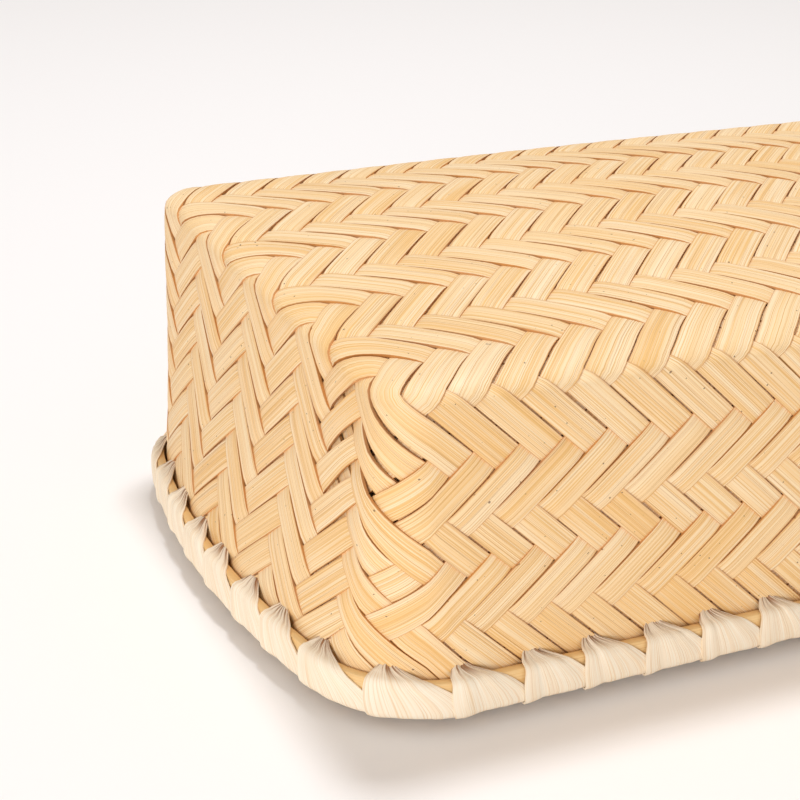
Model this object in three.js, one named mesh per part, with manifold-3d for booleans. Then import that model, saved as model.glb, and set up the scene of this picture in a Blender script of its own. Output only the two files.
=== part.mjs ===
// A lidded bento box woven from split bamboo: a body and a deep lid that slips right over it.
// Millimetres, +Z up, +X along the box, origin on the table under the middle of the box.
import * as THREE from 'three';
import { mergeVertices } from 'three/addons/utils/BufferGeometryUtils.js';
import Module from 'manifold-3d';

const wasm = await Module();
wasm.setup();

// Lid: its sizes are taken on the outside, at the foot of the fold round its domed panel. The walls hang
// straight, but the fold's tight corners ease to a wider radius at the rim, where the ends bow out.
const LID_LENGTH = 171;
const LID_WIDTH = 113.5;
const LID_HEIGHT = 66;
const LID_DOME = 5;
const SHOULDER_REACH = 7.4;
const SHOULDER_DROP = 3.5;
const SHOULDER_RADIUS = 7.4;
const RIM_RADIUS = 15;
// How much of an inward offset is taken off the radius of a corner, on the lid's fold and elsewhere.
const FOLD_CORNER_SHARE = 1;
const INNER_CORNER_SHARE = 0.5;
const END_BOW = 7.5;

// Body: it hangs its width on the lid's inside, so only its own flare and base edge are set here.
const BODY_FLARE = 3;
const BASE_EDGE_REACH = 8;
const BASE_EDGE_DROP = 6;

// Woven wall: two layers of strip everywhere, each strip over three and under three of the others, at 45 degrees
// to the folds. A plait unit holds two crossings of a strip. On the front wall one row of crossings is skipped.
const WEAVE_THICKNESS = 1.3;
const PANEL_UNITS_LONG = 20;
const PANEL_UNITS_WIDE = 13;
const CROSSINGS_OVER = 3;
const SKIPPED_ROW = 9;
// How far the outside dips between two strips side by side, and where a strip dives under.
const STRIP_GROOVE = 0.12;
const STRIP_DIVE = 0.55;

// Rims: a hoop on each side of the wall, whipped on with a wide lashing.
const HOOP_HEIGHT = 6.6;
const HOOP_THICKNESS = 1.8;
const HOOP_CHAMFER = 0.75;
const LASHING_THICKNESS = 0.7;
const LASHING_NECK = 3.2;
const STITCH_PITCH = 12;
const STITCH_SPACING = 1.2;
const LASHINGS_PER_RIM = 4;
// The share of the pitch that the lashing moves on while it passes through the wall.
const NECK_SHIFT_SHARE = 0.04;

// Clearances.
const HOOP_GAP = 0.3;
const LASHING_GAP = 0.45;
const HOLE_GAP = 0.35;
const LID_SLIP = 1.5;
const LID_SEAT_GAP = 0.5;
const TABLE_GAP = 2;

// How finely round stretches are cut into flats.
// An outline's steps are for its front, its first corner, its right end and its second corner, and then repeat.
const LID_SHELL_STEPS = [8, 6, 6, 6];
const LID_HOOP_STEPS = [1, 6, 6, 6];
const BODY_STEPS = [1, 6, 1, 6];
const SHOULDER_STEPS = 5;
const WALL_STEPS = 4;
const FOLD_STEPS = 100;
const DOME_SHARES = [0.12, 0.3, 0.5, 0.7, 0.88];
const GAP_SAMPLES = 4;

const WOVEN = new THREE.MeshStandardMaterial({ color: 0xe9c88f, roughness: 0.55, metalness: 0 });
const HOOP = new THREE.MeshStandardMaterial({ color: 0xd9ad62, roughness: 0.5, metalness: 0 });
const LASHING = new THREE.MeshStandardMaterial({ color: 0xeedfbd, roughness: 0.65, metalness: 0 });

// Plan outline. Every wall, hoop and stitch follows a rounded rectangle, set off from the lid's own outline
// by a distance "out". Inward offsets keep a corner that never shrinks to nothing.
function outlineAt(out, corner, share = INNER_CORNER_SHARE) {
  const radius = out >= 0 ? corner + out : corner * Math.exp(share * out / corner);
  const halfX = LID_LENGTH / 2 + out;
  const halfY = LID_WIDTH / 2 + out;
  return { radius, halfX, halfY, straightX: halfX - radius, straightY: halfY - radius };
}

// A point on the outline: even stretches are the front, right, back and left sides,
// odd ones the corners after them; "part" runs from 0 to 1 along the stretch.
function outlinePoint(stretch, part, out, corner, share) {
  const { radius, halfX, halfY, straightX, straightY } = outlineAt(out, corner, share);
  const side = Math.floor(stretch / 2);
  const along = 2 * part - 1;
  if (stretch % 2 === 0) {
    if (side === 0) return new THREE.Vector2(along * straightX, -halfY);
    if (side === 1) return new THREE.Vector2(halfX, along * straightY);
    if (side === 2) return new THREE.Vector2(-along * straightX, halfY);
    return new THREE.Vector2(-halfX, -along * straightY);
  }
  const angle = (side - 1 + part) * Math.PI / 2;
  const centreX = side < 2 ? straightX : -straightX;
  const centreY = side === 1 || side === 2 ? straightY : -straightY;
  return new THREE.Vector2(centreX + radius * Math.cos(angle), centreY + radius * Math.sin(angle));
}

function outlinePoints(steps, out, corner, share) {
  const points = [];
  for (let stretch = 0; stretch < 8; stretch++) {
    const count = steps[stretch % steps.length];
    for (let step = 0; step < count; step++) points.push(outlinePoint(stretch, step / count, out, corner, share));
  }
  return points;
}

// The outline with its ends bowed out, most in the middle of each end.
function bowed(p, bow) {
  const fromSide = 1 - (p.y / (LID_WIDTH / 2)) ** 2;
  return new THREE.Vector2(p.x * (1 + bow / (LID_LENGTH / 2) * fromSide), p.y);
}

// Closed skin through a row of rings, each four-sided patch split along its shorter diagonal. Closed rows join
// last to first. Open rows get a fan over each end, unless a cap is given for the first.
function skin(rings, { closed = false, cap } = {}) {
  const size = rings[0].length;
  const points = rings.flat();
  const faces = [];
  const rows = closed ? rings.length : rings.length - 1;
  for (let row = 0; row < rows; row++) {
    const here = row * size;
    const next = ((row + 1) % rings.length) * size;
    for (let i = 0; i < size; i++) {
      const [a, b, c, d] = [here + i, here + (i + 1) % size, next + (i + 1) % size, next + i];
      const straight = points[a].distanceTo(points[c]) <= points[b].distanceTo(points[d]);
      faces.push(...(straight ? [a, b, c, a, c, d] : [a, b, d, b, c, d]));
    }
  }
  const fan = (first, reversed) => {
    const ring = points.slice(first, first + size);
    const middle = points.push(ring.reduce((sum, p) => sum.add(p), new THREE.Vector3()).divideScalar(size)) - 1;
    for (let i = 0; i < size; i++) {
      const edge = [first + i, first + (i + 1) % size];
      faces.push(middle, ...(reversed ? edge.toReversed() : edge));
    }
  };
  if (!closed) fan((rings.length - 1) * size, false);
  if (!closed && !cap) fan(0, true);
  if (cap) {
    const offset = points.length;
    points.push(...cap.points);
    faces.push(...cap.faces.map((index) => index + offset));
    faces.push(...zip(points, cap.edge.map((index) => index + offset), rings[0].map((_, i) => i)));
  }
  const geometry = new THREE.BufferGeometry();
  geometry.setAttribute('position', new THREE.Float32BufferAttribute(points.flatMap((p) => p.toArray()), 3));
  geometry.setIndex(facingOut(points, faces));
  return geometry;
}

// Triangles between two rings of different counts that run the same way, always taking the shorter step.
function zip(points, upper, lower) {
  const gap = (i, j) => points[upper[i % upper.length]].distanceTo(points[lower[j % lower.length]]);
  const start = lower.reduce((best, _, j) => (gap(0, j) < gap(0, best) ? j : best), 0);
  const faces = [];
  let [i, j] = [0, start];
  while (i < upper.length || j < start + lower.length) {
    const [a, c] = [upper[i % upper.length], lower[j % lower.length]];
    const upperNext = j === start + lower.length || (i < upper.length && gap(i + 1, j) <= gap(i, j + 1));
    if (upperNext) faces.push(a, upper[++i % upper.length], c);
    else faces.push(a, lower[++j % lower.length], c);
  }
  return faces;
}

function facingOut(points, faces) {
  let volume = 0;
  for (let i = 0; i < faces.length; i += 3) {
    const [a, b, c] = [points[faces[i]], points[faces[i + 1]], points[faces[i + 2]]];
    volume += a.dot(new THREE.Vector3().crossVectors(b, c));
  }
  return volume > 0 ? faces : faces.toReversed();
}

function solid(geometry) {
  const bare = geometry.clone();
  bare.deleteAttribute('normal');
  bare.deleteAttribute('uv');
  const merged = mergeVertices(bare);
  return new wasm.Manifold(new wasm.Mesh({
    numProp: 3,
    vertProperties: Float32Array.from(merged.attributes.position.array),
    triVerts: Uint32Array.from(merged.index.array),
  }));
}

function geometryOf(body) {
  const { vertProperties, triVerts } = body.getMesh();
  const geometry = new THREE.BufferGeometry();
  geometry.setAttribute('position', new THREE.BufferAttribute(vertProperties, 3));
  geometry.setIndex(new THREE.BufferAttribute(triVerts, 1));
  return geometry;
}

// Rim section, shared by both rims: how far hoop and lashing stand off the wall's faces and its edge.
// A chamfer that is copied at a distance grows by this share of the distance.
const MITRE = 2 - Math.SQRT2;
const HOOP_REACH = HOOP_GAP + HOOP_THICKNESS;
const EDGE_REACH = LASHING_GAP + LASHING_THICKNESS;
const RIM_REACH = HOOP_REACH + EDGE_REACH;
const RIM_EASE = HOOP_CHAMFER + MITRE * EDGE_REACH;

// Depth at which a wall's rim begins, just clear of the lashing.
const rimStart = (depth) => depth - HOOP_HEIGHT - RIM_REACH;

// Wall profile, from the panel over its rounded edge to the rim, as [out, depth] with depth
// measured from the outside of the panel's edge. The wall leans out by "flare", most of it near the edge.
function wallProfile({ out, reach, drop, flare, depth }) {
  const lean = (d) => flare * (d / depth) * (2 - d / depth);
  const profile = [];
  for (let step = 0; step <= SHOULDER_STEPS; step++) {
    const turn = (step / SHOULDER_STEPS) * Math.PI / 2;
    const d = drop * (1 - Math.cos(turn));
    profile.push(new THREE.Vector2(out - reach * (1 - Math.sin(turn)) + lean(d), d));
  }
  for (let step = 1; step <= WALL_STEPS; step++) {
    const d = THREE.MathUtils.lerp(drop, rimStart(depth), step / WALL_STEPS);
    profile.push(new THREE.Vector2(out + lean(d), d));
  }
  profile.push(new THREE.Vector2(out + flare, depth));
  return profile;
}

// The inside of that wall: each point moved in by the weave's thickness, square to the profile.
function insideOf(profile) {
  return profile.map((p, i) => {
    const along = new THREE.Vector2().subVectors(profile[i + 1] ?? p, profile[i - 1] ?? p).normalize();
    if (i === 0) along.set(1, 0);
    if (i === profile.length - 1) along.set(0, 1);
    return new THREE.Vector2(p.x - WEAVE_THICKNESS * along.y, p.y + WEAVE_THICKNESS * along.x);
  });
}

// Depth of a profile where it crosses a given offset. Further in than its first point it is level.
function depthAt(profile, out) {
  const i = profile.findIndex((p) => p.x >= out);
  if (i === 0) return profile[0].y;
  const [a, b] = [profile[i - 1], profile[i]];
  return a.y + (b.y - a.y) * (out - a.x) / (b.x - a.x);
}

// Lid: its lashed edge hangs just clear of the table.
const lidEdge = TABLE_GAP + EDGE_REACH;
const lidCrown = TABLE_GAP + LID_HEIGHT;
const lidProfile = wallProfile({
  out: 0, reach: SHOULDER_REACH, drop: SHOULDER_DROP, flare: 0, depth: lidCrown - lidEdge,
});
const lidInside = insideOf(lidProfile);
const lid = {
  name: 'lid', wall: 0, edge: lidEdge, up: 1, depth: lidCrown - lidEdge,
  profile: lidProfile, inside: lidInside,
  corner: SHOULDER_RADIUS, cornerShare: FOLD_CORNER_SHARE, bow: END_BOW, dome: LID_DOME, panel: DOME_SHARES,
  shellSteps: LID_SHELL_STEPS, hoopSteps: LID_HOOP_STEPS, plaited: true,
  zAt: (depth) => lidCrown - depth,
};

// Body: its lashed rim slips through the lid's lashed rim, and the corners of the lid's panel,
// the lowest part of the dome, come down on it.
const bodyRimOut = -WEAVE_THICKNESS - RIM_REACH - LID_SLIP;
const bodyWall = bodyRimOut - RIM_REACH;
const seatDepth = LID_DOME + Math.max(
  depthAt(lidInside, bodyRimOut) - RIM_EASE,
  depthAt(lidInside, bodyRimOut - RIM_EASE),
);
const bodyEdge = lidCrown - seatDepth - LID_SEAT_GAP - EDGE_REACH;
const bodyProfile = wallProfile({
  out: bodyWall - BODY_FLARE, reach: BASE_EDGE_REACH, drop: BASE_EDGE_DROP, flare: BODY_FLARE, depth: bodyEdge,
});
const body = {
  name: 'body', wall: bodyWall, edge: bodyEdge, up: -1, depth: bodyEdge,
  profile: bodyProfile, inside: insideOf(bodyProfile),
  corner: RIM_RADIUS, cornerShare: INNER_CORNER_SHARE, bow: 0, dome: 0, panel: [],
  shellSteps: BODY_STEPS, hoopSteps: BODY_STEPS, plaited: false,
  zAt: (depth) => depth,
};

// The rim's run along the middle of the wall, and where a distance along it falls on the outline.
function rimRun(half) {
  const middle = half.wall - WEAVE_THICKNESS / 2;
  const { radius, straightX, straightY } = outlineAt(middle, RIM_RADIUS);
  const lengths = [2 * straightX, radius * Math.PI / 2, 2 * straightY, radius * Math.PI / 2];
  const stretches = [...lengths, ...lengths];
  const total = stretches.reduce((sum, length) => sum + length, 0);
  const stitches = LASHINGS_PER_RIM * Math.round(total / STITCH_PITCH / LASHINGS_PER_RIM);
  const pointAt = (distance, out, above) => {
    let rest = THREE.MathUtils.euclideanModulo(distance, total);
    let stretch = 0;
    while (stretch < stretches.length - 1 && rest > stretches[stretch]) rest -= stretches[stretch++];
    const p = bowed(outlinePoint(stretch, rest / stretches[stretch], out, RIM_RADIUS), half.bow);
    return new THREE.Vector3(p.x, p.y, half.edge + half.up * above);
  };
  return { middle, stitches, pitch: total / stitches, pointAt };
}

// A ring of the woven shell, on one face of the wall at a row of its profile, or drawn in over the panel
// to a share of the first row. The outside face sets how far that row has spread and how far the dome falls.
function shellRing(half, face, row, share) {
  const outside = half.profile[row];
  const spread = Math.min(outside.y / rimStart(half.depth), 1) ** 2;
  const corner = THREE.MathUtils.lerp(half.corner, RIM_RADIUS, spread);
  const guides = outlinePoints(half.shellSteps, outside.x, corner, half.cornerShare);
  return outlinePoints(half.shellSteps, face[row].x, corner, half.cornerShare).map((p, i) => {
    const guide = guides[i].multiplyScalar(share);
    const swell = (1 - (2 * guide.x / LID_LENGTH) ** 2) * (1 - (2 * guide.y / LID_WIDTH) ** 2);
    const sag = half.dome * (1 - swell) * (1 - outside.y / half.depth);
    const { x, y } = bowed(p.multiplyScalar(share), half.bow * spread);
    return new THREE.Vector3(x, y, half.zAt(face[row].y + sag));
  });
}

// Lengths of the fold's section from the panel to its middle, and from there to the wall.
function foldArcs() {
  const arcs = [0, 0];
  for (let step = 0; step < FOLD_STEPS; step++) {
    const turn = (step + 0.5) / FOLD_STEPS * Math.PI / 2;
    const pace = Math.hypot(SHOULDER_REACH * Math.cos(turn), SHOULDER_DROP * Math.sin(turn));
    arcs[step < FOLD_STEPS / 2 ? 0 : 1] += pace * Math.PI / 2 / FOLD_STEPS;
  }
  return arcs;
}

const [PANEL_ARC, WALL_ARC] = foldArcs();
const PLAIT_UNIT = (LID_LENGTH + 2 * (PANEL_ARC - SHOULDER_REACH)) / PANEL_UNITS_LONG;

// How far from the middle of the panel a place along one of its edges lies, before the fold is rounded.
function fromMiddle(place, units, half) {
  const fromEnd = (1 - Math.abs(2 * place / units - 1)) * (half - SHOULDER_REACH + PANEL_ARC);
  const onFold = fromEnd * SHOULDER_REACH / PANEL_ARC;
  const inset = fromEnd < PANEL_ARC ? onFold : fromEnd - PANEL_ARC + SHOULDER_REACH;
  return Math.sign(place - units / 2) * (half - inset);
}

// A point on the lid's outside, moved in by "dip". The place is in half plait units: along the panel's
// front and left edges, or round the fold from the front left corner and down the wall.
function plaitPoint(half, { x, y, round, down }, dip) {
  const [halfX, halfY] = [LID_LENGTH / 2, LID_WIDTH / 2];
  const [long, wide] = [2 * PANEL_UNITS_LONG, 2 * PANEL_UNITS_WIDE];
  let sharp = new THREE.Vector2(fromMiddle(x, long, halfX), fromMiddle(y, wide, halfY));
  if (round !== undefined) {
    const turn = THREE.MathUtils.euclideanModulo(round, 2 * (long + wide));
    if (turn < long) sharp.set(fromMiddle(turn, long, halfX), -halfY);
    else if (turn < long + wide) sharp.set(halfX, fromMiddle(turn - long, wide, halfY));
    else if (turn < 2 * long + wide) sharp.set(fromMiddle(2 * long + wide - turn, long, halfX), halfY);
    else sharp.set(-halfX, fromMiddle(2 * (long + wide) - turn, wide, halfY));
  }
  const run = (down ?? 0) * PLAIT_UNIT / 2;
  const depth = run < WALL_ARC ? run * SHOULDER_DROP / WALL_ARC : run - WALL_ARC + SHOULDER_DROP;
  const spread = Math.min(depth / rimStart(half.depth), 1) ** 2;
  const corner = THREE.MathUtils.lerp(half.corner, RIM_RADIUS, spread);
  const innerX = THREE.MathUtils.clamp(sharp.x, corner - halfX, halfX - corner);
  const innerY = THREE.MathUtils.clamp(sharp.y, corner - halfY, halfY - corner);
  const share = [(sharp.x - innerX) / corner, (sharp.y - innerY) / corner, 1 - Math.min(depth / SHOULDER_DROP, 1)];
  const ball = new THREE.Vector3(...share.map((part) => Math.tan(part * Math.PI / 4))).normalize();
  const fall = Math.max(depth, SHOULDER_DROP) - SHOULDER_DROP * ball.z;
  const swell = (1 - (sharp.x / halfX) ** 2) * (1 - (sharp.y / halfY) ** 2);
  const sag = half.dome * (1 - swell) * (1 - fall / half.depth);
  const plan = new THREE.Vector2(innerX + (corner - dip) * ball.x, innerY + (corner - dip) * ball.y);
  const { x: px, y: py } = bowed(plan, half.bow * spread);
  return new THREE.Vector3(px, py, half.zAt(fall + sag + dip * ball.z));
}

// Whether the strips that rise from left to right lie on top at a crossing.
function risingOnTop({ x, y, round, down }) {
  const [long, wide] = [2 * PANEL_UNITS_LONG, 2 * PANEL_UNITS_WIDE];
  let row = y;
  if (round !== undefined) {
    const turn = THREE.MathUtils.euclideanModulo(round, 2 * (long + wide));
    if (turn < long) row = down < SKIPPED_ROW ? -down : -down - 1;
    else if (turn < long + wide) row = turn - long;
    else if (turn < 2 * long + wide) row = wide + down;
    else row = 2 * (long + wide) - turn;
  }
  return THREE.MathUtils.euclideanModulo(row, 2 * CROSSINGS_OVER) < CROSSINGS_OVER;
}

// The lid's plaited outside, from the panel to just above the rim, with its lower edge as a ring.
// Each crossing has a raised middle and four corners: a corner dips most where strips dive under.
function plaitedFace(half) {
  const [long, wide] = [2 * PANEL_UNITS_LONG, 2 * PANEL_UNITS_WIDE];
  const about = 2 * (long + wide);
  const last = Math.floor((rimStart(half.depth) + WALL_ARC - SHOULDER_DROP) / PLAIT_UNIT * 2);
  const onWall = (round, down) => ({ round: THREE.MathUtils.euclideanModulo(round, about), down });
  const onPanel = (x, y) => {
    if (y === 0) return onWall(x, 0);
    if (x === long) return onWall(long + y, 0);
    if (y === wide) return onWall(2 * long + wide - x, 0);
    if (x === 0) return onWall(about - y, 0);
    return { x, y };
  };
  const inward = (round) => {
    if (round < long) return onPanel(round, 1);
    if (round < long + wide) return onPanel(long - 1, round - long);
    if (round < 2 * long + wide) return onPanel(2 * long + wide - round, wide - 1);
    return onPanel(1, about - round);
  };
  const crossings = [];
  for (let x = 1; x < long; x++) {
    for (let y = 1 + x % 2; y < wide; y += 2) {
      const corners = [onPanel(x, y - 1), onPanel(x + 1, y), onPanel(x, y + 1), onPanel(x - 1, y)];
      crossings.push({ at: { x, y }, corners });
    }
  }
  for (let down = 0; down <= last; down++) {
    for (let round = (down + 1) % 2; round < about; round += 2) {
      const above = down === 0 ? inward(round) : onWall(round, down - 1);
      const corners = [onWall(round, down + 1), onWall(round + 1, down), above, onWall(round - 1, down)];
      crossings.push({ at: onWall(round, down), corners: down === last ? corners.slice(1) : corners });
    }
  }
  const key = (place) => [place.x, place.y, place.round, place.down].join();
  const places = new Map();
  for (const crossing of crossings) {
    crossing.rising = risingOnTop(crossing.at);
    for (const place of crossing.corners) {
      if (!places.has(key(place))) places.set(key(place), { place, index: places.size, tops: new Set() });
      places.get(key(place)).tops.add(crossing.rising);
    }
  }
  const points = [...places.values()].map(({ place, tops }) => (
    plaitPoint(half, place, tops.size > 1 ? STRIP_DIVE : STRIP_GROOVE)
  ));
  const faces = [];
  for (const { at, corners } of crossings) {
    const ring = corners.map((place) => places.get(key(place)).index).toReversed();
    if (ring.length === 3) {
      faces.push(...ring);
    } else {
      const middle = points.push(plaitPoint(half, at, 0)) - 1;
      ring.forEach((index, i) => faces.push(middle, index, ring[(i + 1) % ring.length]));
    }
  }
  const edge = [];
  for (let round = last % 2; round < about; round += 2) edge.push(places.get(key(onWall(round, last))).index);
  return { points, faces, edge };
}

// Woven shell: the plaited sheet itself, folded up at the edges, with the holes that the lashing
// is passed through just clear of the hoops.
function wovenShell(half, run) {
  const layer = (face) => [
    ...half.panel.map((share) => shellRing(half, face, 0, share)),
    ...face.map((_, row) => shellRing(half, face, row, 1)),
  ];
  const outside = half.plaited ? layer(half.profile).slice(-2) : layer(half.profile);
  const rings = [...outside, ...layer(half.inside).toReversed()];
  let shell = solid(skin(rings, { cap: half.plaited && plaitedFace(half) }));
  const width = LASHING_NECK + 2 * HOLE_GAP;
  const height = LASHING_THICKNESS + 2 * HOLE_GAP;
  const depth = 3 * WEAVE_THICKNESS;
  const above = HOOP_HEIGHT + LASHING_GAP + LASHING_THICKNESS / 2;
  const [inner] = bundleCorner(TURN.at(-1), half, LASHING_GAP);
  const [outer] = bundleCorner(TURN[0], half, LASHING_GAP);
  for (let stitch = 0; stitch < run.stitches; stitch++) {
    const from = run.pointAt((stitch - NECK_SHIFT_SHARE) * run.pitch, inner, above);
    const to = run.pointAt(stitch * run.pitch, outer, above);
    const centre = from.clone().lerp(to, (run.middle - inner) / (outer - inner));
    const hole = new THREE.BoxGeometry(depth, width, height);
    hole.rotateZ(Math.atan2(to.y - from.y, to.x - from.x));
    hole.translate(centre.x, centre.y, centre.z);
    shell = shell.subtract(solid(hole));
  }
  return geometryOf(shell);
}

// Hoops: flat split-bamboo bands, one outside and one inside the wall, flush with its edge.
function hoop(half, face, side) {
  const near = face + side * HOOP_GAP;
  const far = face + side * HOOP_REACH;
  const eased = far - side * HOOP_CHAMFER;
  const section = [
    [near, 0], [eased, 0], [far, HOOP_CHAMFER],
    [far, HOOP_HEIGHT - HOOP_CHAMFER], [eased, HOOP_HEIGHT], [near, HOOP_HEIGHT],
  ];
  return skin(section.map(([out, above]) => outlinePoints(half.hoopSteps, out, RIM_RADIUS).map((p) => {
    const { x, y } = bowed(p, half.bow);
    return new THREE.Vector3(x, y, half.edge + half.up * above);
  })), { closed: true });
}

// Lashing. One turn goes out through a hole, down over the outer hoop, round the edge, up inside and
// on to the next hole. It is drawn narrow at the hole and spreads to nearly the full pitch at the edge.
// Each row: which side of the bundle, which of its corners and which end of the corner's ease, the way on to
// the next hole as a share of the pitch, and the spread from neck (0) to full width (1).
const TURN = [
  { at: 'outer', end: 'top', toward: 'top', on: 0, spread: 0 },
  { at: 'outer', end: 'top', toward: 'side', on: 0.02, spread: 0.1 },
  { at: 'outer', end: 'edge', toward: 'side', on: 0.25, spread: 0.96 },
  { at: 'outer', end: 'edge', toward: 'edge', on: 0.29, spread: 1 },
  { at: 'inner', end: 'edge', toward: 'corner', on: 0.42, spread: 1 },
  { at: 'inner', end: 'top', toward: 'corner', on: 1 - NECK_SHIFT_SHARE, spread: 0 },
];

// A corner of the bundle of hoops and wall, grown by "away", as [out, above].
function bundleCorner({ at, end, toward }, half, away) {
  const ease = HOOP_CHAMFER + MITRE * away;
  const sign = at === 'outer' ? 1 : -1;
  const face = at === 'outer' ? half.wall : half.wall - WEAVE_THICKNESS;
  const out = face + sign * (HOOP_REACH + away);
  const above = end === 'top' ? HOOP_HEIGHT + away : -away;
  if (toward === 'corner') return [out, above];
  if (toward === 'side') return [out, above + (end === 'top' ? -ease : ease)];
  return [out - sign * ease, above];
}

// A section of the ribbon has six corners: three across its inner face, then three back across its outer face.
const TRAILING_CORNERS = [0, 5];
const LEADING_CORNERS = [2, 3];

function lashing(half, run, first, turns, name) {
  const full = run.pitch - STITCH_SPACING;
  const sections = [];
  const place = (row, turn) => {
    const distance = (first + turn + row.on) * run.pitch;
    const width = LASHING_NECK + (full - LASHING_NECK) * row.spread;
    const [inOut, inAbove] = bundleCorner(row, half, LASHING_GAP);
    const [outOut, outAbove] = bundleCorner(row, half, LASHING_GAP + LASHING_THICKNESS);
    const across = [-width / 2, 0, width / 2];
    sections.push([
      ...across.map((offset) => run.pointAt(distance + offset, inOut, inAbove)),
      ...across.toReversed().map((offset) => run.pointAt(distance + offset, outOut, outAbove)),
    ]);
  };
  // The tail is tucked inside at both ends: the first turn starts from the inner hoop's top,
  // and the last is trimmed at the inner hoop's edge.
  place(TURN.at(-1), -1);
  for (let turn = 0; turn < turns; turn++) {
    TURN.slice(0, turn === turns - 1 ? -1 : undefined).forEach((row) => place(row, turn));
  }
  console.log(`${name}: least gap to itself ${leastGap(sections).toFixed(2)} mm`);
  return skin(sections);
}

// Least distance between one turn's leading edge and the next turn's trailing edge, on points.
function leastGap(sections) {
  const edge = (corners) => sections.slice(0, -1).flatMap((section, i) => {
    const samples = [];
    for (let k = 0; k < GAP_SAMPLES; k++) {
      for (const corner of corners) {
        samples.push(section[corner].clone().lerp(sections[i + 1][corner], k / GAP_SAMPLES));
      }
    }
    return samples;
  });
  const [trailing, leading] = [edge(TRAILING_CORNERS), edge(LEADING_CORNERS)];
  const turn = TURN.length * GAP_SAMPLES * LEADING_CORNERS.length;
  let least = Infinity;
  leading.forEach((p, i) => {
    for (let j = i + turn / 2; j < Math.min(i + 3 * turn / 2, trailing.length); j++) {
      least = Math.min(least, p.distanceTo(trailing[j]));
    }
  });
  return least;
}

function piece(name, geometry, material) {
  geometry.computeVertexNormals();
  const mesh = new THREE.Mesh(geometry, material);
  mesh.name = name;
  return mesh;
}

const bento = new THREE.Group();
for (const half of [body, lid]) {
  const group = new THREE.Group();
  const run = rimRun(half);
  group.add(piece(`${half.name}_woven_shell`, wovenShell(half, run), WOVEN));
  group.add(piece(`${half.name}_outer_hoop`, hoop(half, half.wall, 1), HOOP));
  group.add(piece(`${half.name}_inner_hoop`, hoop(half, half.wall - WEAVE_THICKNESS, -1), HOOP));
  const turns = run.stitches / LASHINGS_PER_RIM;
  for (let length = 0; length < LASHINGS_PER_RIM; length++) {
    const name = `${half.name}_lashing_${length + 1}`;
    group.add(piece(name, lashing(half, run, length * turns, turns, name), LASHING));
  }
  bento.add(group);
}

export default bento;
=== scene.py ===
import math

import bpy
import numpy as np
from mathutils import Matrix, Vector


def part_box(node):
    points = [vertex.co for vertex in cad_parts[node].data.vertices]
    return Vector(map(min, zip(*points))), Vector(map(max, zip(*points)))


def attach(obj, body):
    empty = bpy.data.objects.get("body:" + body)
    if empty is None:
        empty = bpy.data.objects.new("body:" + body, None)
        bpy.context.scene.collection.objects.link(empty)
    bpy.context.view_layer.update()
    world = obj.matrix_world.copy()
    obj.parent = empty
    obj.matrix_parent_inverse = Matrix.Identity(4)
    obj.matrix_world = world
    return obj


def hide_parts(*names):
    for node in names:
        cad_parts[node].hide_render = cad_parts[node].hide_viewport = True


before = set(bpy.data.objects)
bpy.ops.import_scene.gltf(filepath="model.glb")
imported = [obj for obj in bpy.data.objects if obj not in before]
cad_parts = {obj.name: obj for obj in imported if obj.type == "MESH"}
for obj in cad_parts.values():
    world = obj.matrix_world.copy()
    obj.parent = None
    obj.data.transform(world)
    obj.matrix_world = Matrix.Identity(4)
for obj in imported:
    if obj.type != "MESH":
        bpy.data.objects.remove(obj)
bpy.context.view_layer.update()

# Body weave. Two sets of flat split-bamboo strips are plaited over three and under three, at 45 degrees
# to the sides of the base, then folded up into walls. Nothing but the plait and the rim holds them.
MM = 0.001
WEAVE_THICKNESS = 1.3 * MM
RIM_ZONE = 9.85 * MM
STRIP_THICKNESS = 0.5 * MM
STRIP_CAMBER = 0.1 * MM
STRIP_LIFT = 0.3 * MM
FLOAT_BOW = 0.1 * MM
TWILL = 3
# A strip changes sides within this run, and its bow fades over a longer one, in plait units.
DIVE = 0.42
BOW_FADE = 3 * DIVE
# How much of its own room a strip fills, how far it strays in it, and in how many waves to a unit.
STRIP_FILL = (0.92, 0.98)
STRIP_WANDER = 0.02
STRIP_WAVES = (0.08, 0.2)
# The plait is loose beside each corner: how far before it, how far down and how wide, in plait units.
# Strips there are narrower by a share, and arch out.
SLACK_LEAD = 1.5
SLACK_DOWN = 1.8
SLACK_REACH = 1.4
SLACK_NARROWING = 0.25
SLACK_ARCH = 0.7 * MM
STEPS_PER_CELL = 4
STRIP_COLUMNS = 5
FOLD_STEPS = 100
# Each strip has a row in the UV map, and takes up this much of it to either side of the row's middle.
ROW_HALF = 0.46


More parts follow.
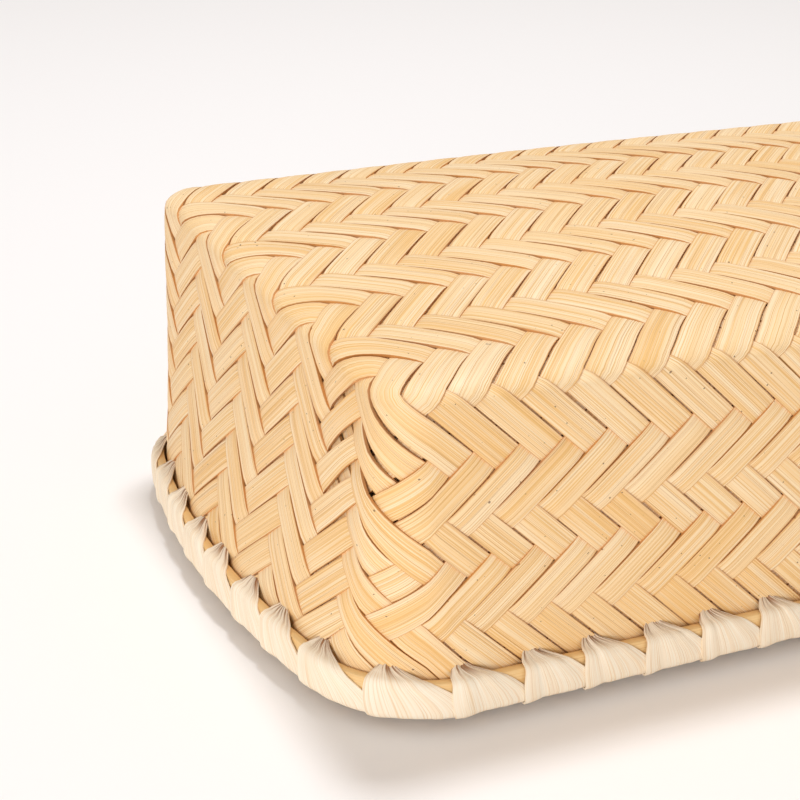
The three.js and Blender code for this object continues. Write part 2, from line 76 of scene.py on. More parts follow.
class PlaitedHalf:
    """One half of the box: the surface midway through its plait, seen with its panel uppermost.

    Places on it are given in plait units along the panel's front and left edges, and run on down the
    walls past a fold. A strip meets two crossing strips in each unit. From slip_row on down, unless it
    is 0, the front wall's pattern is one row out. The slack beside the corners is scaled by loose.
    """

    def __init__(self, shell, cells, fold, drop, rim_corner, flare, bow, dome, up, slip_row, loose):
        low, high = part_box(shell)
        self.length, self.width = cells
        self.round_trip = 2 * (self.length + self.width)
        self.flare, self.bow, self.dome, self.up = flare, bow, dome, up
        self.slip_row, self.loose = slip_row, loose
        self.half_x = high.x - flare - bow - WEAVE_THICKNESS / 2
        self.half_y = high.y - flare - WEAVE_THICKNESS / 2
        self.corner = fold - WEAVE_THICKNESS / 2
        self.rim_corner = rim_corner - WEAVE_THICKNESS / 2
        self.drop = drop - WEAVE_THICKNESS / 2
        self.depth = high.z - low.z - WEAVE_THICKNESS / 2
        self.rim_start = self.depth - RIM_ZONE
        self.panel = (high.z if up > 0 else low.z) - up * WEAVE_THICKNESS / 2
        turn = np.linspace(0, math.pi / 2, 2 * FOLD_STEPS + 1)
        pace = np.hypot(self.corner * np.cos(turn), self.drop * np.sin(turn))
        arc = np.append(0, np.cumsum((pace[1:] + pace[:-1]) / 2 * turn[1]))
        self.panel_arc = arc[FOLD_STEPS]
        self.wall_arc = arc[-1] - self.panel_arc
        flat = self.half_x + self.half_y - 2 * self.corner
        self.unit = 2 * (flat + 2 * self.panel_arc) / (self.length + self.width)
        self.rim = (self.depth - self.drop + self.wall_arc) / self.unit

    def along(self, place, cells, half):
        """How far from the middle of the panel a place along one of its edges lies."""
        from_end = (1 - np.abs(2 * place / cells - 1)) * (half - self.corner + self.panel_arc)
        rounded = from_end * self.corner / self.panel_arc
        straight = from_end - self.panel_arc + self.corner
        inset = np.where(from_end < self.panel_arc, rounded, straight)
        return np.sign(place - cells / 2) * (half - inset)

    def round_and_down(self, x, y, side):
        """A place that is reached over one side of the panel, as units round the fold and down the wall."""
        length, width = self.length, self.width
        if side == "front":
            return np.mod(x, self.round_trip), -y
        if side == "right":
            return np.mod(length + y, self.round_trip), x - length
        if side == "back":
            return np.mod(2 * length + width - x, self.round_trip), y - width
        return np.mod(self.round_trip - y, self.round_trip), -x

    def place(self, x, y, side, lift):
        """Points that lift above the surface, at places that are reached over one side of the panel."""
        # The point on a box with sharp folds and corners.
        length, width = self.length, self.width
        around, down = self.round_and_down(x, y, side)
        walls = [around < length, around < length + width, around < 2 * length + width]
        wall_x = np.select(
            walls,
            [
                self.along(around, length, self.half_x),
                self.half_x,
                self.along(2 * length + width - around, length, self.half_x),
            ],
            -self.half_x,
        )
        wall_y = np.select(
            walls,
            [-self.half_y, self.along(around - length, width, self.half_y), self.half_y],
            self.along(self.round_trip - around, width, self.half_y),
        )
        on_wall = down > 0
        x = np.where(on_wall, wall_x, self.along(np.clip(x, 0, length), length, self.half_x))
        y = np.where(on_wall, wall_y, self.along(np.clip(y, 0, width), width, self.half_y))
        run = np.maximum(down, 0) * self.unit
        rounded = run * self.drop / self.wall_arc
        depth = np.where(run < self.wall_arc, rounded, run - self.wall_arc + self.drop)

        # Folds and corners are rounded together: the sharp corner's cube is drawn in to a ball.
        spread = np.minimum(depth / self.rim_start, 1) ** 2
        corner = self.corner + (self.rim_corner - self.corner) * spread
        inner_x = np.clip(x, corner - self.half_x, self.half_x - corner)
        inner_y = np.clip(y, corner - self.half_y, self.half_y - corner)
        cube = np.array([
            (x - inner_x) / corner,
            (y - inner_y) / corner,
            1 - np.minimum(depth / self.drop, 1),
        ])
        ball = np.tan(math.pi / 4 * cube)
        ball /= np.linalg.norm(ball, axis=0)
        normal = ball / np.array([[self.corner], [self.corner], [self.drop]])
        normal /= np.linalg.norm(normal, axis=0)

        # The wall leans out, the panel is domed, and the ends bow out towards the rim.
        fall = np.maximum(depth, self.drop) - self.drop * ball[2]
        lean = self.flare * (fall / self.depth) * (2 - fall / self.depth)
        swell = (1 - (x / self.half_x) ** 2) * (1 - (y / self.half_y) ** 2)
        sag = self.dome * (1 - swell) * (1 - fall / self.depth)
        px = inner_x + (corner + lean) * ball[0]
        py = inner_y + (corner + lean) * ball[1]
        px = px * (1 + self.bow / self.half_x * spread * (1 - (py / self.half_y) ** 2))
        px = px + lift * normal[0]
        py = py + lift * normal[1]
        pz = lift * normal[2] - fall - sag
        return np.stack([px, self.up * py, self.panel + self.up * pz], axis=-1)

    def slack(self, x, y, side):
        """How loose the plait is there, up to 1: most on a wall, below the fold and just before a corner."""
        around, down = self.round_and_down(x, y, side)
        length, width = self.length, self.width
        corners = np.array([[0], [length], [length + width], [2 * length + width], [self.round_trip]])
        aside = np.min(np.abs(around - corners + SLACK_LEAD), axis=0)
        return self.loose * np.exp(-(np.hypot(aside, down - SLACK_DOWN) / SLACK_REACH) ** 2)

    def is_over(self, x, y, side, rising):
        """Whether a rising (or else falling) strip lies outside at its crossing there."""
        first_over = rising
        row = 2 * y
        if side:
            around, down = self.round_and_down(x, y, side)
            # Crossings lie at whole and half units.
            around = round(float(2 * around)) / 2 % self.round_trip
            runs_back = rising == (side in ("front", "back"))
            if around < self.length:
                row, first_over = -2 * down, runs_back
            elif around < self.length + self.width:
                row, first_over = 2 * (around - self.length), not runs_back
            elif around < 2 * self.length + self.width:
                row, first_over = 2 * (self.width + down), runs_back
            else:
                row, first_over = 2 * (self.round_trip - around), not runs_back
        row = round(float(row))
        if side and self.slip_row and row <= -self.slip_row:
            row -= 1
        return (row % (2 * TWILL) < TWILL) == first_over


def new_ribbon(steps, columns):
    """A flat grid, and how far along and across it each vertex is, from -1 to 1."""
    bpy.ops.object.select_all(action="DESELECT")
    bpy.ops.mesh.primitive_grid_add(x_subdivisions=steps, y_subdivisions=columns, size=2)
    ribbon = bpy.context.object
    flat = np.empty(len(ribbon.data.vertices) * 3)
    ribbon.data.vertices.foreach_get("co", flat)
    along, across, _ = flat.reshape(-1, 3).T
    return ribbon, along, across


def map_run(piece, layout, along, across):
    """Fills a UV map from each vertex's run along the piece and its place across it."""
    corners = np.empty(len(piece.data.loops), dtype=int)
    piece.data.loops.foreach_get("vertex_index", corners)
    layout.data.foreach_set("uv", np.stack([along, across], axis=-1)[corners].ravel())


def thicken(piece, thickness):
    solid = piece.modifiers.new("thickness", "SOLIDIFY")
    solid.thickness = thickness
    solid.offset = 0
    bpy.ops.object.modifier_apply(modifier=solid.name)


def plait_strip(half, number, start, on_panel, sides, rising, rng):
    """One strip, from rim to rim. It crosses the panel from its start, for so many units along the front."""
    x0, y0 = start
    rise = 1 if rising else -1
    steps = round((on_panel + 2 * half.rim) * 2 * STEPS_PER_CELL)
    strip, along, across = new_ribbon(steps, STRIP_COLUMNS)
    run = (along + 1) / 2 * (on_panel + 2 * half.rim) - half.rim

    # The strip lies over or under, as 1 or -1, at each crossing, and dives between them.
    cells = np.arange(math.floor(-2 * half.rim) - 1, math.ceil(2 * (on_panel + half.rim)) + 2)
    over = []
    for cell in cells:
        at = cell / 2
        side = sides[0] if at < 0 else sides[1] if at > on_panel else None
        over.append(1 if half.is_over(x0 + at, y0 + rise * at, side, rising) else -1)
    lift = np.full(len(run), float(over[0]))
    bow = lift.copy()
    for cell, here, after in zip(cells, over, over[1:]):
        if here == after:
            continue
        past = run - (cell + 0.5) / 2
        for reach, profile in ((DIVE, lift), (BOW_FADE, bow)):
            share = np.clip(past / reach + 0.5, 0, 1)
            profile += (after - here) * share * share * (3 - 2 * share)
    first_half = run < on_panel / 2
    slack = np.where(first_half, *(half.slack(x0 + run, y0 + rise * run, side) for side in sides))
    arch = SLACK_ARCH * slack * np.maximum(bow, 0)
    lift = lift * STRIP_LIFT + bow * FLOAT_BOW - STRIP_CAMBER * across ** 2 + arch

    # It is narrower than its room, and wanders in it.
    fill = rng.uniform(*STRIP_FILL) * (1 - SLACK_NARROWING * slack)
    waves = rng.uniform(*STRIP_WAVES, 2)
    phases = rng.uniform(0, 2 * math.pi, 2)
    wander = STRIP_WANDER * sum(np.sin(2 * math.pi * w * run + p) for w, p in zip(waves, phases)) / 2
    shift = across * fill / 4 + wander / 2
    x = x0 + run - rise * shift
    y = y0 + rise * run + shift
    points = np.where(first_half[:, None], *(half.place(x, y, side, lift) for side in sides))
    strip.data.vertices.foreach_set("co", points.ravel())
    layout = strip.data.uv_layers.active
    layout.name = "strip_run"
    map_run(strip, layout, run * half.unit * math.sqrt(2), number + 0.5 + ROW_HALF * across)
    return strip


def plait_strips(half, rising, name, rng):
    """All the strips that run one way, as one piece."""
    length, width = half.length, half.width
    strips = []
    for number in range(length + width):
        offset = number + 0.5
        if rising:
            offset -= length
            start, first = ((0, offset), "left") if offset > 0 else ((-offset, 0), "front")
            end, last = (length, "right") if length + offset < width else (width - offset, "back")
        else:
            start, first = ((0, offset), "left") if offset < width else ((offset - width, width), "back")
            end, last = (offset, "front") if offset < length else (length, "right")
        strips.append(plait_strip(half, number, start, end - start[0], (first, last), rising, rng))
    bpy.ops.object.select_all(action="DESELECT")
    for strip in strips:
        strip.select_set(True)
    bpy.context.view_layer.objects.active = strips[0]
    bpy.ops.object.join()
    joined = bpy.context.object
    joined.name = name
    thicken(joined, STRIP_THICKNESS)
    bpy.ops.object.shade_smooth_by_angle(angle=math.radians(40))
    return joined


class Shade:
    """A value in a material. Sums and products of values add Math nodes; node() adds any other."""

    def __init__(self, tree, socket=None):
        self.tree = tree
        self.socket = socket

    def node(self, kind, settings=(), sockets=(), out=0):
        made = self.tree.nodes.new("ShaderNode" + kind)
        for name, value in dict(settings).items():
            setattr(made, name, value)
        for name, value in dict(sockets).items():
            if isinstance(value, Shade):
                self.tree.links.new(value.socket, made.inputs[name])
            else:
                made.inputs[name].default_value = value
        return Shade(self.tree, made.outputs[out])

    def math(self, operation, *values):
        return self.node("Math", {"operation": operation}, dict(enumerate(values)))

    def __add__(self, other):
        return self.math("ADD", self, other)

    def __sub__(self, other):
        return self.math("SUBTRACT", self, other)

    def __rsub__(self, other):
        return self.math("SUBTRACT", other, self)

    def __mul__(self, other):
        return self.math("MULTIPLY", self, other)

    __radd__ = __add__
    __rmul__ = __mul__

    def floor(self):
        return self.math("FLOOR", self)

    def part(self):
        return self.math("FRACT", self)

    def step(self, low, high):
        sockets = {"Value": self, "From Min": low, "From Max": high}
        return self.node("MapRange", {"interpolation_type": "SMOOTHSTEP"}, sockets)

    def noise(self, x, y, z, detail):
        point = self.node("CombineXYZ", (), {0: x, 1: y, 2: z})
        return self.node("TexNoise", (), {"Vector": point, "Scale": 1.0, "Detail": detail})

    def tint(self, share, under, over):
        # A Mix node's colours are its inputs 6 and 7 and its output 2.
        under, over = ((*c, 1) if isinstance(c, tuple) else c for c in (under, over))
        return self.node("Mix", {"data_type": "RGBA"}, {0: share, 6: under, 7: over}, out=2)


def new_finish(name, layout):
    material = bpy.data.materials.new(name)
    material.use_nodes = True
    paint = Shade(material.node_tree)
    run = paint.node("UVMap", {"uv_map": layout})
    along = paint.node("SeparateXYZ", (), {0: run}, out=0)
    across = paint.node("SeparateXYZ", (), {0: run}, out=1)
    return material, paint, along, across


def set_finish(material, colour, roughness, height, strength, distance):
    shader = material.node_tree.nodes["Principled BSDF"]
    links = material.node_tree.links
    links.new(colour.socket, shader.inputs["Base Color"])
    links.new(roughness.socket, shader.inputs["Roughness"])
    bump = colour.node("Bump", (), {"Strength": strength, "Distance": distance, "Height": height})
    links.new(bump.socket, shader.inputs["Normal"])


def strip_finish():
    """Each strip has a tone of its own, and grain drawn out along it, from broad patches to dark threads."""
    honey, amber = (0.94, 0.67, 0.36), (0.90, 0.56, 0.23)
    straw, cream, ivory = (0.96, 0.72, 0.43), (0.97, 0.77, 0.51), (0.98, 0.82, 0.56)
    tan, brown, gap_shade, soot = (0.80, 0.45, 0.12), (0.56, 0.27, 0.07), (0.56, 0.21, 0.04), (0.16, 0.08, 0.04)
    material, paint, along, across = new_finish("split_bamboo_strip", "strip_run")
    strip = across.floor()
    place = across.part()
    luck = paint.node("TexWhiteNoise", {"noise_dimensions": "1D"}, {"W": strip})
    tone = paint.node("TexWhiteNoise", {"noise_dimensions": "1D"}, {"W": strip + 0.37})
    fine = paint.noise(along * 14, across * 29, strip * 3.1, detail=2.0)
    thread = paint.noise(along * 18, across * 52, strip * 4.3, detail=1.0)
    streak = paint.noise(along * 9, across * 4.5, strip * 5.3, detail=1.0)
    patch = paint.noise(along * 28, across * 0.9, strip * 1.7, detail=2.0)
    body = paint.tint(tone, honey, amber)
    body = paint.tint(patch.step(0.38, 0.68) * 0.7, body, straw)
    body = paint.tint(streak.step(0.48, 0.62) * 0.6, body, cream)
    body = paint.tint(fine.step(0.52, 0.60) * 0.6, body, tan)
    body = paint.tint((1 - fine).step(0.54, 0.62) * 0.4, body, ivory)
    body = paint.tint(thread.step(0.57, 0.66) * 0.6, body, brown)
    speck = paint.noise(along * 1500, across * 9, strip * 2.3, detail=0.0).step(0.84, 0.87)
    body = paint.tint(speck * 0.8, body, soot)
    # Painted shade: each strip's long edges are darkened to a reddish brown, for the shade in the gaps
    # between strips.
    edge = paint.math("ABSOLUTE", place - 0.5)
    body = paint.tint(edge.step(0.43, ROW_HALF) * 0.75, body, gap_shade)
    roughness = 0.42 + fine * 0.18 + luck * 0.06
    set_finish(material, body, roughness, fine + thread * 0.6, strength=0.3, distance=0.12 * MM)
    return material


def dress(piece, material, body, slot, *nodes):
    piece.data.materials.clear()
    piece.data.materials.append(material)
    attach(piece, body)
    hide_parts(*nodes)


split_strip = strip_finish()
body_half = PlaitedHalf(
    "body_woven_shell", cells=(17, 10), fold=9 * MM, drop=6 * MM, rim_corner=11 * MM, flare=3 * MM,
    bow=0, dome=0, up=-1, slip_row=0, loose=0,
)
rng = np.random.default_rng(11)
for rising, name in ((True, "body_strips_rising"), (False, "body_strips_falling")):
    dress(plait_strips(body_half, rising, name, rng), split_strip, "body", "woven_bamboo", "body_woven_shell")

# Body rim hoops. Two flat bands of split bamboo stand inside and outside the top of the wall
# and squeeze the strip ends between them.
RIM_RADIUS = 15 * MM
LID_HALF_X = 85.5 * MM
LID_HALF_Y = 56.75 * MM
HOOP_HEIGHT = 6.6 * MM
HOOP_THICKNESS = 1.8 * MM
HOOP_GAP = 0.3 * MM
HOOP_ROUNDING = 0.45 * MM
HOOP_STEPS = 240


class Rim:
    """The rim's run round the box, in metres along the middle of the wall from the front left corner."""

    def __init__(self, shell, wall, bow, up):
        low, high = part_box(shell)
        self.wall, self.bow, self.up = wall, bow, up
        self.edge = low.z if up > 0 else high.z
        radius, straight_x, straight_y = self.outline(wall - WEAVE_THICKNESS / 2)
        corner = radius * math.pi / 2
        self.ends = np.cumsum([0] + 2 * [2 * straight_x, corner, 2 * straight_y, corner])
        self.length = self.ends[-1]

    def outline(self, out):
        """The corner's radius and half of each straight side, that far out from the lid's wall."""
        shrunk = RIM_RADIUS * np.exp(np.minimum(out, 0) / RIM_RADIUS / 2)
        radius = np.where(out >= 0, RIM_RADIUS + out, shrunk)
        return radius, LID_HALF_X + out - radius, LID_HALF_Y + out - radius

    def place(self, distance, out, above):
        """Points at a run round the rim, so far out from the lid's wall and from the edge to the panel."""
        distance = np.mod(distance, self.length)
        stretch = np.searchsorted(self.ends, distance, side="right") - 1
        stretch = np.clip(stretch, 0, len(self.ends) - 2)
        part = (distance - self.ends[stretch]) / (self.ends[stretch + 1] - self.ends[stretch])
        radius, straight_x, straight_y = self.outline(out)
        half_x, half_y = straight_x + radius, straight_y + radius
        quarter = stretch // 2
        straight = stretch % 2 == 0
        sweep = 2 * part - 1
        side_x = np.choose(quarter, [sweep * straight_x, half_x, -sweep * straight_x, -half_x])
        side_y = np.choose(quarter, [-half_y, sweep * straight_y, half_y, -sweep * straight_y])
        centre_x = np.where(quarter < 2, straight_x, -straight_x)
        centre_y = np.where((quarter == 1) | (quarter == 2), straight_y, -straight_y)
        angle = (quarter - 1 + part) * math.pi / 2
        x = np.where(straight, side_x, centre_x + radius * np.cos(angle))
        y = np.where(straight, side_y, centre_y + radius * np.sin(angle))
        x = x * (1 + self.bow / LID_HALF_X * (1 - (y / LID_HALF_Y) ** 2))
        return np.stack([x, y, self.edge + self.up * above + 0 * x], axis=-1)


def bend_hoop(rim, side, name):
    """A flat band bent round the rim, outside the wall if side is 1 and inside it if side is -1."""
    face = rim.wall if side > 0 else rim.wall - WEAVE_THICKNESS
    middle = face + side * (HOOP_GAP + HOOP_THICKNESS / 2)
    bpy.ops.object.select_all(action="DESELECT")
    bpy.ops.mesh.primitive_circle_add(vertices=HOOP_STEPS, radius=1)
    hoop = bpy.context.object
    hoop.name = name
    distance = np.arange(HOOP_STEPS) / HOOP_STEPS * rim.length
    bottom = 0 if rim.up > 0 else HOOP_HEIGHT
    hoop.data.vertices.foreach_set("co", rim.place(distance, middle, bottom).ravel())
    bpy.ops.object.mode_set(mode="EDIT")
    bpy.ops.mesh.select_all(action="SELECT")
    bpy.ops.mesh.extrude_region_move(TRANSFORM_OT_translate={"value": (0, 0, HOOP_HEIGHT)})
    bpy.ops.mesh.select_all(action="SELECT")
    bpy.ops.mesh.normals_make_consistent(inside=False)
    bpy.ops.object.mode_set(mode="OBJECT")
    layout = hoop.data.uv_layers.new(name="hoop_run")
    map_run(hoop, layout, np.tile(distance, 2), np.repeat([0, 1], HOOP_STEPS))
    thicken(hoop, HOOP_THICKNESS)
    ease = hoop.modifiers.new("ease", "BEVEL")
    ease.width = HOOP_ROUNDING
    ease.segments = 2
    ease.limit_method = "ANGLE"
    ease.angle_limit = math.radians(60)
    bpy.ops.object.modifier_apply(modifier=ease.name)
    bpy.ops.object.shade_smooth_by_angle(angle=math.radians(40))
    return hoop


def hoop_finish():
    gold, toffee = (0.90, 0.62, 0.29), (0.85, 0.53, 0.21)
    brown, straw = (0.62, 0.29, 0.08), (0.92, 0.66, 0.34)
    material, paint, along, across = new_finish("golden_bamboo_hoop", "hoop_run")
    fine = paint.noise(along * 18, across * 34, 2.0, detail=3.0)
    streak = paint.noise(along * 10, across * 7, 5.0, detail=2.0)
    body = paint.tint(streak.step(0.4, 0.7), gold, toffee)
    body = paint.tint(fine.step(0.5, 0.75) * 0.45, body, brown)
    body = paint.tint((1 - fine).step(0.55, 0.75) * 0.4, body, straw)
    set_finish(material, body, 0.4 + fine * 0.2, fine, strength=0.3, distance=0.12 * MM)
    return material


golden_hoop = hoop_finish()
BODY_WALL = -9.3 * MM
body_rim = Rim("body_woven_shell", BODY_WALL, bow=0, up=-1)
for side, place in ((1, "outer"), (-1, "inner")):
    node = f"body_{place}_hoop"
    dress(bend_hoop(body_rim, side, f"body_{place}_band"), golden_hoop, "body", "bamboo_hoop", node)

# Body lashing. Wide thin ribbons of pale bamboo whip the hoops to the wall: each turn is bunched where
# it is pulled through the plait above the hoops, then fans out over them to meet the next turn.
RIBBON_THICKNESS = 0.32 * MM
RIBBON_OFF_HOOP = 0.34 * MM
RIBBON_CORNER = 1.2 * MM
NECK_RISE = 2.2 * MM
RIBBON_STEPS = 44
RIBBON_COLUMNS = 22
CORNER_POINTS = 9
LASHINGS = 4
# A ribbon starts END_CUT of a turn before its first hole and stops further short of its last one.
END_CUT = 0.05
# How far a hole strays from its place, in pitches.
HOLE_STRAY = 0.06
# A turn is creased lengthwise, most at its narrow neck. Its left edge lies on the turn before, its right
# edge is tucked under the next, and it crowns for the first share of its way round.
CREASES = 5
FAN_CREASE = 0.07 * MM
NECK_CREASE = 0.16 * MM
NECK_WIDTH = 0.2
FAN_WIDTH = 1.1
OVERLAP_FROM = 0.45
OVERLAP_RAMP = 0.35
OVERLAP_LIFT = 0.42 * MM
TUCK_DROP = 0.1 * MM
CROWN_LIFT = 0.4 * MM
CROWN_SHARE = 0.42
# Along one turn: the share of its way round the bundle, and its left and right edges
# in pitches from the hole.
TURN_SHARE = (0.00, 0.04, 0.09, 0.14, 0.20, 0.27, 0.34, 0.42, 0.52, 0.62, 0.75, 0.88, 0.96, 1.00)
TURN_LEFT = (-0.08, -0.14, -0.19, -0.21, -0.22, -0.22, -0.20, -0.15, 0.00, 0.12, 0.36, 0.70, 0.86, 0.92)
TURN_RIGHT = (0.08, 0.18, 0.37, 0.53, 0.70, 0.87, 0.98, 1.01, 1.03, 1.05, 1.06, 1.08, 1.10, 1.08)


def bundle_path(wall):
    """The ribbon's way round hoops and wall, as points out and above, from the hole back to the hole."""
    outer = wall + HOOP_GAP + HOOP_THICKNESS + RIBBON_OFF_HOOP
    inner = wall - WEAVE_THICKNESS - HOOP_GAP - HOOP_THICKNESS - RIBBON_OFF_HOOP
    hole = (wall - WEAVE_THICKNESS / 2, HOOP_HEIGHT + NECK_RISE)
    top = HOOP_HEIGHT + RIBBON_OFF_HOOP
    bottom = -RIBBON_OFF_HOOP
    turn = np.linspace(0, math.pi / 2, CORNER_POINTS)
    round_out, round_up = RIBBON_CORNER * np.sin(turn), RIBBON_CORNER * np.cos(turn)
    corners = [
        (outer - RIBBON_CORNER + round_out, top - RIBBON_CORNER + round_up),
        (outer - RIBBON_CORNER + round_up, bottom + RIBBON_CORNER - round_out),
        (inner + RIBBON_CORNER - round_out, bottom + RIBBON_CORNER - round_up),
        (inner + RIBBON_CORNER - round_up, top - RIBBON_CORNER + round_out),
    ]
    points = [hole] + [p for c in corners for p in zip(*c)] + [hole]
    return np.array(points)


def wind_lashing(rim, turns_all, first, turns, name, rng):
    """One ribbon, wound on from its first hole for so many of the rim's turns."""
    path = bundle_path(rim.wall)
    lengths = np.append(0, np.cumsum(np.linalg.norm(np.diff(path, axis=0), axis=1)))
    shares = lengths / lengths[-1]
    slope = np.gradient(path, shares, axis=0)
    pitch = rim.length / turns_all
    steps = round((turns - 2 * END_CUT) * RIBBON_STEPS)
    ribbon, along, across = new_ribbon(steps, RIBBON_COLUMNS)
    ribbon.name = name

    # Where on the rim each vertex lies: its turn, its share of that turn, and how wide the turn is there.
    run = (along + 1) / 2 * (turns - 2 * END_CUT) - END_CUT
    turn = np.floor(run).astype(int)
    share = run - turn
    left = np.interp(share, TURN_SHARE, TURN_LEFT)
    right = np.interp(share, TURN_SHARE, TURN_RIGHT)
    spread = np.clip((right - left - NECK_WIDTH) / (FAN_WIDTH - NECK_WIDTH), 0, 1)
    nudge = rng.uniform(-HOLE_STRAY, HOLE_STRAY, turns + 3)
    nudge[0] = nudge[1]
    hole_here = turn + 1
    drift = nudge[hole_here] * (1 - share) + nudge[hole_here + 1] * share
    on = (left + right) / 2 + across * (right - left) / 2
    distance = (first + turn + on + drift) * pitch

    # Where round the bundle it lies, which way is outwards there, and how far it is lifted off.
    out = np.interp(share, shares, path[:, 0])
    above = np.interp(share, shares, path[:, 1])
    out_slope = np.interp(share, shares, slope[:, 0])
    above_slope = np.interp(share, shares, slope[:, 1])
    size = np.hypot(out_slope, above_slope)
    face_out, face_up = -above_slope / size, out_slope / size
    phases = rng.uniform(0, 2 * math.pi, (turns + 3, CREASES))
    creases = sum(
        np.sin(math.pi * (k + 2) * across + phases[hole_here, k]) / (k + 2) for k in range(CREASES)
    )
    crease = FAN_CREASE + NECK_CREASE * (1 - spread)
    overlap = np.clip((-across - OVERLAP_FROM) / OVERLAP_RAMP, 0, 1)
    tuck = np.clip(across, 0, 1) ** 4
    crown = np.sin(math.pi * np.clip(share / CROWN_SHARE, 0, 1)) * (1 - across ** 2)
    lift = crease * creases + (OVERLAP_LIFT * overlap - TUCK_DROP * tuck) * spread + CROWN_LIFT * crown
    points = rim.place(distance, out + lift * face_out, above + lift * face_up)
    ribbon.data.vertices.foreach_set("co", points.ravel())
    layout = ribbon.data.uv_layers.active
    layout.name = "ribbon_run"
    map_run(ribbon, layout, run + 1, first + 0.5 + ROW_HALF * across)
    bpy.ops.object.mode_set(mode="EDIT")
    bpy.ops.mesh.select_all(action="SELECT")
    bpy.ops.mesh.flip_normals()
    bpy.ops.object.mode_set(mode="OBJECT")
    thicken(ribbon, RIBBON_THICKNESS)
    bpy.ops.object.shade_smooth_by_angle(angle=math.radians(45))
    return ribbon


def lashing_finish():
    """Pale, with fine lines along the ribbon, and painted shade in streaky brown where a turn is pulled
    through its hole.
    """
    cream, buff, ivory = (0.97, 0.83, 0.64), (0.93, 0.73, 0.49), (0.98, 0.90, 0.75)
    tan, umber = (0.76, 0.51, 0.28), (0.33, 0.15, 0.06)
    material, paint, along, across = new_finish("pale_bamboo_lashing", "ribbon_run")
    place = across.part()
    turn = (along + 0.5).floor()
    fine = paint.noise(along * 1.4, place * 78, turn * 3.7, detail=2.0)
    streak = paint.noise(along * 1.2, place * 14, turn * 5.1, detail=2.0)
    body = paint.tint(streak.step(0.45, 0.7) * 0.6, cream, buff)
    body = paint.tint((1 - fine).step(0.5, 0.62) * 0.6, body, ivory)
    body = paint.tint(fine.step(0.53, 0.63) * 0.45, body, tan)
    neck = paint.math("ABSOLUTE", (along + 0.5).part() - 0.5)
    # Painted shade: near its neck the ribbon darkens to a streaky brown, for the shadow of the hole it is
    # pulled through.
    hole_shade = (1 - neck.step(0.03, 0.15)) * (0.25 + streak.step(0.45, 0.6))
    body = paint.tint(hole_shade * 0.85, body, umber)
    set_finish(material, body, 0.58 + fine * 0.2, fine + streak, strength=0.4, distance=0.2 * MM)
    return material


pale_lashing = lashing_finish()
BODY_STITCHES = 40
for length in range(LASHINGS):
    turns = BODY_STITCHES // LASHINGS
    ribbon = wind_lashing(body_rim, BODY_STITCHES, length * turns, turns, f"body_ribbon_{length + 1}", rng)
    dress(ribbon, pale_lashing, "body", "bamboo_lashing", f"body_lashing_{length + 1}")

# Lid weave. The same plait, larger and the other way up: its panel is the crown of the box, and its
# walls hang over the body nearly to the table. The front wall skips a row half way down.
LID_BOW = 7.5 * MM
lid_half = PlaitedHalf(
    "lid_woven_shell", cells=(20, 13), fold=7.4 * MM, drop=3.5 * MM, rim_corner=RIM_RADIUS, flare=0,
    bow=LID_BOW, dome=5 * MM, up=1, slip_row=9, loose=1,
)
for rising, name in ((True, "lid_strips_rising"), (False, "lid_strips_falling")):
    dress(plait_strips(lid_half, rising, name, rng), split_strip, "lid", "woven_bamboo", "lid_woven_shell")

# Lid rim hoops. The same pair of split-bamboo bands, larger and bowed out at the ends,
# squeezes the ends of the lid's strips at its lower edge.
lid_rim = Rim("lid_woven_shell", wall=0, bow=LID_BOW, up=1)
for side, place in ((1, "outer"), (-1, "inner")):
    node = f"lid_{place}_hoop"
    dress(bend_hoop(lid_rim, side, f"lid_{place}_band"), golden_hoop, "lid", "bamboo_hoop", node)

# Lid lashing. The same thin pale bamboo ribbon, wound on from hole to hole round the lid's rim
# in four lengths.
LID_STITCHES = 44
for length in range(LASHINGS):
    turns = LID_STITCHES // LASHINGS
    ribbon = wind_lashing(lid_rim, LID_STITCHES, length * turns, turns, f"lid_ribbon_{length + 1}", rng)
    dress(ribbon, pale_lashing, "lid", "bamboo_lashing", f"lid_lashing_{length + 1}")

# Table. A wide, pale, matt sheet that keeps the box's soft shadow. It glows a little towards the camera
# alone, so that it stays near white in the open.
TABLE_GLOW = 0.02
bpy.ops.object.select_all(action="DESELECT")
bpy.ops.mesh.primitive_plane_add(size=8)
table = bpy.context.object
table.name = "table"
sheet = bpy.data.materials.new("white_table")
sheet.use_nodes = True
shader = sheet.node_tree.nodes["Principled BSDF"]
shader.inputs["Base Color"].default_value = (0.93, 0.905, 0.897, 1)
shader.inputs["Roughness"].default_value = 0.9
shader.inputs["Specular IOR Level"].default_value = 0.1
shader.inputs["Emission Strength"].default_value = 1
seen = Shade(sheet.node_tree).node("LightPath", out=0)
sheet.node_tree.links.new((seen * TABLE_GLOW).socket, shader.inputs["Emission Color"])
table.data.materials.append(sheet)

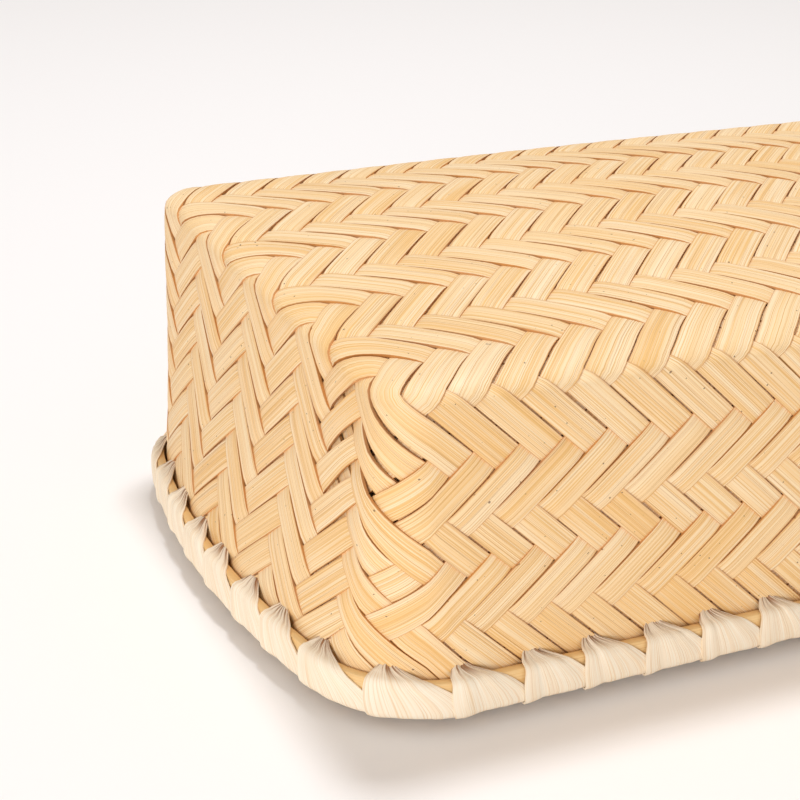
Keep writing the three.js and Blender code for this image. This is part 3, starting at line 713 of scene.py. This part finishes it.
# Light. An even, slightly warm room, a soft lamp overhead and a little behind, and a low fill
# at the front left.
world = bpy.data.worlds.new("white_room")
world.use_nodes = True
world.node_tree.nodes["Background"].inputs["Color"].default_value = (1, 0.95, 0.9, 1)
world.node_tree.nodes["Background"].inputs["Strength"].default_value = 0.53
bpy.context.scene.world = world
for name, spot, size, energy, colour in (
    ("soft_lamp", (0.085, 0.18, 1.0), 0.16, 5.1, (0.97, 1, 1.04)),
    ("front_fill", (-0.76, -0.7, 0.2), 0.5, 4.8, (1, 1, 1)),
):
    bpy.ops.object.light_add(type="AREA", location=spot)
    lamp = bpy.context.object
    lamp.name = name
    lamp.data.size = size
    lamp.data.energy = energy
    lamp.data.color = colour
    lamp.rotation_euler = (
        math.atan2(math.hypot(spot[0], spot[1]), spot[2]),
        0,
        math.atan2(-spot[1], -spot[0]) - math.pi / 2,
    )

# Camera. It looks down on the near left corner of the lid with a long lens, and is placed so that
# this corner falls on its own pixel.
CAMERA_AZIMUTH = math.radians(-25.98)
CAMERA_HEIGHT_ANGLE = math.radians(24.01)
CAMERA_ROLL = math.radians(2.04)
CAMERA_DISTANCE = 301.5 * MM
PICTURE = 800
FOCAL_PIXELS = 1965.2
CORNER_PIXEL = (394.5, 369.9)
back = np.array([
    math.sin(CAMERA_AZIMUTH) * math.cos(CAMERA_HEIGHT_ANGLE),
    -math.cos(CAMERA_AZIMUTH) * math.cos(CAMERA_HEIGHT_ANGLE),
    math.sin(CAMERA_HEIGHT_ANGLE),
])
right = np.cross((0, 0, 1), back)
right /= np.linalg.norm(right)
up = np.cross(back, right)
right, up = (
    math.cos(CAMERA_ROLL) * right + math.sin(CAMERA_ROLL) * up,
    math.cos(CAMERA_ROLL) * up - math.sin(CAMERA_ROLL) * right,
)
corner = np.array([-lid_half.half_x, -lid_half.half_y, lid_half.panel])
seen_right = (CORNER_PIXEL[0] - PICTURE / 2) / FOCAL_PIXELS * CAMERA_DISTANCE
seen_up = (PICTURE / 2 - CORNER_PIXEL[1]) / FOCAL_PIXELS * CAMERA_DISTANCE
eye = corner - right * seen_right - up * seen_up + back * CAMERA_DISTANCE
bpy.ops.object.camera_add()
camera = bpy.context.object
camera.data.sensor_width = 36
camera.data.lens = FOCAL_PIXELS / PICTURE * camera.data.sensor_width
camera.data.clip_start = 0.01
axes = np.stack([right, up, back, eye], axis=1)
camera.matrix_world = Matrix([*axes.tolist(), (0, 0, 0, 1)])
bpy.context.scene.camera = camera
bpy.context.scene.view_settings.view_transform = "Standard"
